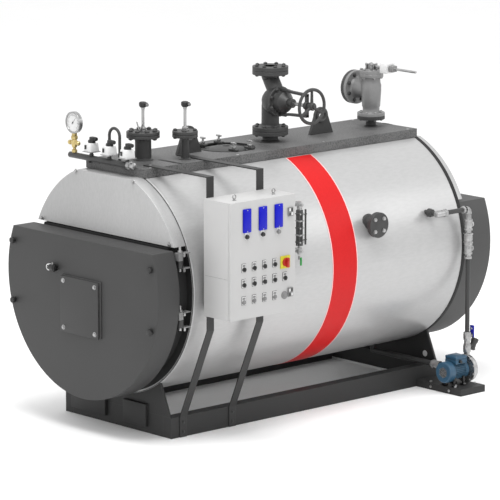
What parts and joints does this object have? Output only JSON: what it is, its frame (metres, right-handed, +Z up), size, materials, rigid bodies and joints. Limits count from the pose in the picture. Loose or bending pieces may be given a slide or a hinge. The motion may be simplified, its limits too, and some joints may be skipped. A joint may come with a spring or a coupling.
{
  "type": "industrial boiler",
  "caption": "Packaged steam boiler on a skid: lagged horizontal drum, hinged front door, deck with stop and safety valves, control cabinet and feed pump.",
  "frame": {"origin": "centre of the skid, on the floor", "axes": "+Z up, -Y out of the front door, +X towards the control cabinet and the feed pump, +Y along the drum towards the smoke box"},
  "size_m": [1.5946, 2.749, 1.929],
  "materials": {
    "skid_paint": "matt dark grey paint",
    "tray_sheet": "light grey paint",
    "lagging_sheet": "smooth satin lagging sheet",
    "panel_sheet": "satin sheet",
    "door_paint": "fine textured grey paint",
    "deck_sheet": "textured grey paint",
    "dark_steel": "dark grey paint",
    "bright_steel": "zinc plated",
    "stainless": "satin stainless",
    "strap_steel": "grey flat bar",
    "valve_iron": "dark painted casting",
    "safety_iron": "grey painted casting",
    "cabinet_paint": "light grey textured paint",
    "display_blue": "blue control module",
    "black_plastic": "black plastic",
    "white_plastic": "white plastic",
    "switch_red": "red handle",
    "lever_blue": "blue coated handle",
    "pump_blue": "blue grey enamel",
    "gauge_case": "dark case with white dial",
    "brass": "raw brass"
  },
  "bodies": {
    "boiler": {"cabinet_box": "cabinet_paint", "cabinet_strap_front": "strap_steel", "cabinet_strap_rear": "strap_steel", "door_hinge_brackets": "dark_steel", "drain_pipe": "dark_steel", "drip_tray": "tray_sheet", "feed_ball_valve": "bright_steel", "feed_check_valves": "bright_steel", "feed_pipes": "dark_steel", "feed_strainer": "valve_iron", "flue_collar": "dark_steel", "front_tube_plate": "dark_steel", "front_upper_panel": "panel_sheet", "furnace_tube": "dark_steel", "gauge_cock": "brass", "gauge_header": "dark_steel", "lagging_drum": "lagging_sheet", "level_gauge_body": "dark_steel", "level_gauge_cocks": "bright_steel", "level_probe_one": "dark_steel", "level_probe_two": "dark_steel", "level_tower_one": "dark_steel", "level_tower_two": "dark_steel", "lifting_lug_front": "dark_steel", "lifting_lug_rear": "dark_steel", "manway_clamps": "bright_steel", "manway_cover": "deck_sheet", "outlet_companion_flanges": "dark_steel", "pressure_gauge": "gauge_case", "pressure_switches": "white_plastic", "pump_casing": "stainless", "pump_motor": "pump_blue", "pump_platform": "skid_paint", "rear_smoke_box": "door_paint", "rear_tube_plate": "dark_steel", "rear_upper_panel": "panel_sheet", "saddle_front": "skid_paint", "saddle_rear": "skid_paint", "safety_nozzle": "dark_steel", "safety_valve_body": "safety_iron", "safety_valve_lever": "bright_steel", "side_inspection_flange": "dark_steel", "skid_beam_left": "skid_paint", "skid_beam_right": "skid_paint", "skid_cross_beams": "skid_paint", "steam_nozzle": "dark_steel", "steam_valve_body": "valve_iron", "steam_valve_yoke": "valve_iron", "top_deck": "deck_sheet"},
    "front_door": {"front_door": "door_paint", "burner_cover_plate": "door_paint", "door_clamp_knobs": "black_plastic", "sight_glass": "bright_steel", "door_hinge_knuckles": "dark_steel"},
    "cabinet_door": {"cabinet_door": "cabinet_paint", "cabinet_displays": "display_blue", "cabinet_buttons": "black_plastic"},
    "main_switch": {"main_switch_handle": "switch_red"},
    "steam_handwheel": {"steam_valve_handwheel": "valve_iron"},
    "feed_lever": {"feed_valve_lever": "lever_blue"}
  },
  "joints": [
    {"name": "front_door_hinge", "type": "hinge", "parent": "boiler", "child": "front_door", "pos_m": [0.612, -1.12, 0.876], "axis": [0, 0, 1], "range_deg": [0, 95]},
    {"name": "cabinet_door_hinge", "type": "hinge", "parent": "boiler", "child": "cabinet_door", "pos_m": [0.892, -1.018, 1.056], "axis": [0, 0, -1], "range_deg": [0, 110]},
    {"name": "main_switch_turn", "type": "hinge", "parent": "cabinet_door", "child": "main_switch", "pos_m": [0.92, -0.616, 1.01], "axis": [1, 0, 0], "range_deg": [0, 90]},
    {"name": "steam_wheel_turn", "type": "hinge", "parent": "boiler", "child": "steam_handwheel", "pos_m": [0.348, 0.115, 1.731], "axis": [1, 0, 0], "continuous": true},
    {"name": "feed_lever_turn", "type": "hinge", "parent": "boiler", "child": "feed_lever", "pos_m": [0.7, 1.0783, 0.316], "axis": [0, 1, 0], "range_deg": [0, 90]}
  ]
}
